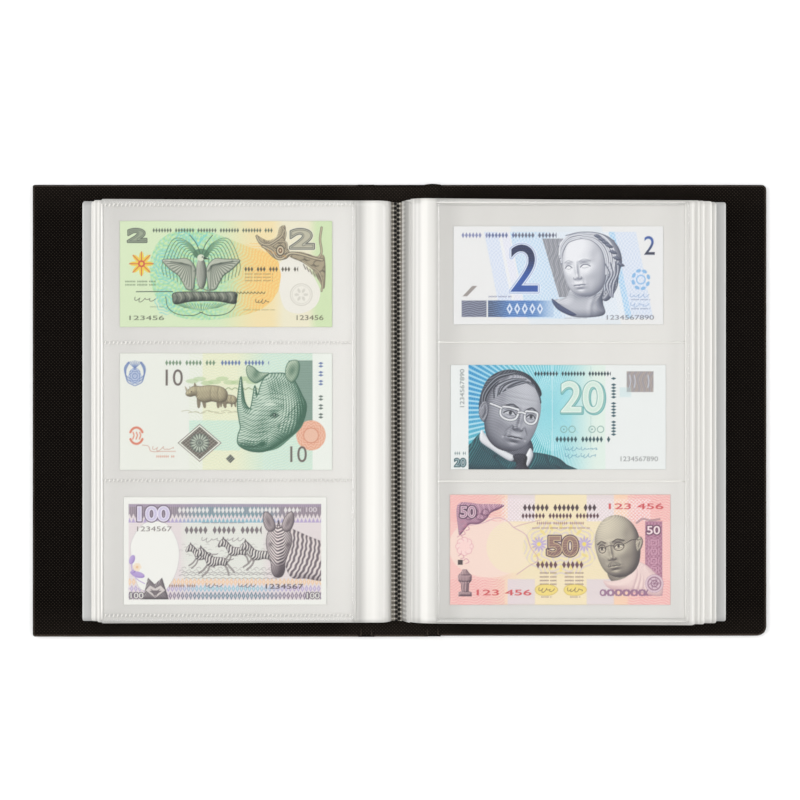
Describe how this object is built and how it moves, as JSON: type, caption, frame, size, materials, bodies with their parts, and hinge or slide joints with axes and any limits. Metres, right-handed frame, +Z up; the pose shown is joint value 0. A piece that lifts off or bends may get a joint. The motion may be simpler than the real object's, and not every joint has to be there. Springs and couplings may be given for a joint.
{
  "type": "banknote album",
  "caption": "bound album with a hard leatherette cover and clear welded pages whose pockets each hold a banknote; shown lying open",
  "frame": {"origin": "on the table under the middle of the open cover: middle of the bounding box in plan, lowest point in height", "axes": "+X across the open album to the reader's right, +Y to the head of the pages, +Z up out of the pages"},
  "size_m": [0.492, 0.302, 0.0218],
  "materials": {
    "cover_skin": "woven-grain leatherette film, dark brown-black, satin",
    "board": "bare greyboard",
    "binding_tape": "coarse woven tape",
    "clear_film": "clear soft film, glossy, milky when stacked",
    "note_paper": "printed cotton paper, fine line print"
  },
  "bodies": {
    "spine": {"spine_outer_skin": "cover_skin", "spine_board": "board", "spine_inner_skin": "cover_skin", "front_hinge_web": "cover_skin", "back_hinge_web": "cover_skin", "binding_strip": "binding_tape", "gutter_weld": "clear_film", "front_pages_1_margin": "clear_film", "front_pages_2_margin": "clear_film", "front_pages_3_margin": "clear_film", "front_pages_4_margin": "clear_film", "left_page_margin": "clear_film", "back_pages_1_margin": "clear_film", "back_pages_2_margin": "clear_film", "back_pages_3_margin": "clear_film", "back_pages_4_margin": "clear_film", "back_pages_5_margin": "clear_film", "back_pages_6_margin": "clear_film", "back_pages_7_margin": "clear_film", "back_leaf_1_margin": "clear_film", "back_leaf_2_margin": "clear_film", "right_page_margin": "clear_film"},
    "front_cover": {"front_cover_outer_skin": "cover_skin", "front_cover_board": "board", "front_cover_inner_skin": "cover_skin"},
    "back_cover": {"back_cover_outer_skin": "cover_skin", "back_cover_board": "board", "back_cover_inner_skin": "cover_skin"},
    "front_pages_1": {"front_pages_1": "clear_film"},
    "front_pages_2": {"front_pages_2": "clear_film"},
    "front_pages_3": {"front_pages_3": "clear_film"},
    "front_pages_4": {"front_pages_4": "clear_film"},
    "left_page": {"left_page": "clear_film"},
    "back_pages_1": {"back_pages_1": "clear_film"},
    "back_pages_2": {"back_pages_2": "clear_film"},
    "back_pages_3": {"back_pages_3": "clear_film"},
    "back_pages_4": {"back_pages_4": "clear_film"},
    "back_pages_5": {"back_pages_5": "clear_film"},
    "back_pages_6": {"back_pages_6": "clear_film"},
    "back_pages_7": {"back_pages_7": "clear_film"},
    "back_leaf_1": {"back_leaf_1": "clear_film"},
    "back_leaf_2": {"back_leaf_2": "clear_film"},
    "right_page": {"right_page": "clear_film"},
    "left_note_top": {"left_note_top": "note_paper"},
    "left_note_middle": {"left_note_middle": "note_paper"},
    "left_note_bottom": {"left_note_bottom": "note_paper"},
    "right_note_top": {"right_note_top": "note_paper"},
    "right_note_middle": {"right_note_middle": "note_paper"},
    "right_note_bottom": {"right_note_bottom": "note_paper"}
  },
  "joints": [
    {"name": "front_cover_hinge", "type": "hinge", "parent": "spine", "child": "front_cover", "pos_m": [-0.0225, 0, 0.0008], "axis": [0, 1, 0], "range_deg": [0, 90], "deforming": ["front_pages_1_margin", "front_pages_2_margin", "front_pages_3_margin", "front_pages_4_margin", "left_page_margin", "front_hinge_web"]},
    {"name": "back_cover_hinge", "type": "hinge", "parent": "spine", "child": "back_cover", "pos_m": [0.0225, 0, 0.0008], "axis": [0, -1, 0], "range_deg": [0, 90], "deforming": ["back_pages_1_margin", "back_pages_2_margin", "back_pages_3_margin", "back_pages_4_margin", "back_pages_5_margin", "back_pages_6_margin", "back_pages_7_margin", "back_leaf_1_margin", "back_leaf_2_margin", "right_page_margin", "back_hinge_web"]},
    {"name": "front_pages_1_hinge", "type": "hinge", "parent": "spine", "child": "front_pages_1", "pos_m": [-0.01284, 0, 0.0046], "axis": [0, 1, 0], "range_deg": [0, 90]},
    {"name": "front_pages_2_hinge", "type": "hinge", "parent": "spine", "child": "front_pages_2", "pos_m": [-0.01119, 0, 0.00634], "axis": [0, 1, 0], "range_deg": [0, 90]},
    {"name": "front_pages_3_hinge", "type": "hinge", "parent": "spine", "child": "front_pages_3", "pos_m": [-0.00954, 0, 0.00809], "axis": [0, 1, 0], "range_deg": [0, 90]},
    {"name": "front_pages_4_hinge", "type": "hinge", "parent": "spine", "child": "front_pages_4", "pos_m": [-0.00788, 0, 0.00984], "axis": [0, 1, 0], "range_deg": [0, 90]},
    {"name": "left_page_hinge", "type": "hinge", "parent": "spine", "child": "left_page", "pos_m": [-0.00634, 0, 0.01147], "axis": [0, 1, 0], "range_deg": [0, 90]},
    {"name": "back_pages_1_hinge", "type": "hinge", "parent": "spine", "child": "back_pages_1", "pos_m": [0.01739, 0, 0.0045], "axis": [0, -1, 0], "range_deg": [0, 90]},
    {"name": "back_pages_2_hinge", "type": "hinge", "parent": "spine", "child": "back_pages_2", "pos_m": [0.01605, 0, 0.00594], "axis": [0, -1, 0], "range_deg": [0, 90]},
    {"name": "back_pages_3_hinge", "type": "hinge", "parent": "spine", "child": "back_pages_3", "pos_m": [0.01463, 0, 0.00745], "axis": [0, -1, 0], "range_deg": [0, 90]},
    {"name": "back_pages_4_hinge", "type": "hinge", "parent": "spine", "child": "back_pages_4", "pos_m": [0.01319, 0, 0.00899], "axis": [0, -1, 0], "range_deg": [0, 90]},
    {"name": "back_pages_5_hinge", "type": "hinge", "parent": "spine", "child": "back_pages_5", "pos_m": [0.01174, 0, 0.01053], "axis": [0, -1, 0], "range_deg": [0, 90]},
    {"name": "back_pages_6_hinge", "type": "hinge", "parent": "spine", "child": "back_pages_6", "pos_m": [0.01029, 0, 0.01207], "axis": [0, -1, 0], "range_deg": [0, 90]},
    {"name": "back_pages_7_hinge", "type": "hinge", "parent": "spine", "child": "back_pages_7", "pos_m": [0.00884, 0, 0.01362], "axis": [0, -1, 0], "range_deg": [0, 90]},
    {"name": "back_leaf_1_hinge", "type": "hinge", "parent": "spine", "child": "back_leaf_1", "pos_m": [0.0075, 0, 0.01505], "axis": [0, -1, 0], "range_deg": [0, 90]},
    {"name": "back_leaf_2_hinge", "type": "hinge", "parent": "spine", "child": "back_leaf_2", "pos_m": [0.00627, 0, 0.01636], "axis": [0, -1, 0], "range_deg": [0, 90]},
    {"name": "right_page_turn", "type": "hinge", "parent": "back_leaf_2", "child": "right_page", "pos_m": [-0.00241, 0, 0.0175], "axis": [0, 1, 0], "range_deg": [-179.5, 0]},
    {"name": "left_note_top_slide", "type": "slide", "parent": "left_page", "child": "left_note_top", "axis": [-1, 0, 0], "range_m": [-0.03, 0]},
    {"name": "left_note_middle_slide", "type": "slide", "parent": "left_page", "child": "left_note_middle", "axis": [-1, 0, 0], "range_m": [-0.03, 0]},
    {"name": "left_note_bottom_slide", "type": "slide", "parent": "left_page", "child": "left_note_bottom", "axis": [-1, 0, 0], "range_m": [-0.03, 0]},
    {"name": "right_note_top_slide", "type": "slide", "parent": "right_page", "child": "right_note_top", "axis": [1, 0, 0], "range_m": [-0.03, 0]},
    {"name": "right_note_middle_slide", "type": "slide", "parent": "right_page", "child": "right_note_middle", "axis": [1, 0, 0], "range_m": [-0.03, 0]},
    {"name": "right_note_bottom_slide", "type": "slide", "parent": "right_page", "child": "right_note_bottom", "axis": [1, 0, 0], "range_m": [-0.03, 0]}
  ],
  "couplings": [
    {"joint": "front_pages_1_hinge", "follows": "front_cover_hinge", "ratio": 1},
    {"joint": "front_pages_2_hinge", "follows": "front_cover_hinge", "ratio": 1},
    {"joint": "front_pages_3_hinge", "follows": "front_cover_hinge", "ratio": 1},
    {"joint": "front_pages_4_hinge", "follows": "front_cover_hinge", "ratio": 1},
    {"joint": "left_page_hinge", "follows": "front_cover_hinge", "ratio": 1},
    {"joint": "back_pages_1_hinge", "follows": "back_cover_hinge", "ratio": 1},
    {"joint": "back_pages_2_hinge", "follows": "back_cover_hinge", "ratio": 1},
    {"joint": "back_pages_3_hinge", "follows": "back_cover_hinge", "ratio": 1},
    {"joint": "back_pages_4_hinge", "follows": "back_cover_hinge", "ratio": 1},
    {"joint": "back_pages_5_hinge", "follows": "back_cover_hinge", "ratio": 1},
    {"joint": "back_pages_6_hinge", "follows": "back_cover_hinge", "ratio": 1},
    {"joint": "back_pages_7_hinge", "follows": "back_cover_hinge", "ratio": 1},
    {"joint": "back_leaf_1_hinge", "follows": "back_cover_hinge", "ratio": 1},
    {"joint": "back_leaf_2_hinge", "follows": "back_cover_hinge", "ratio": 1}
  ]
}
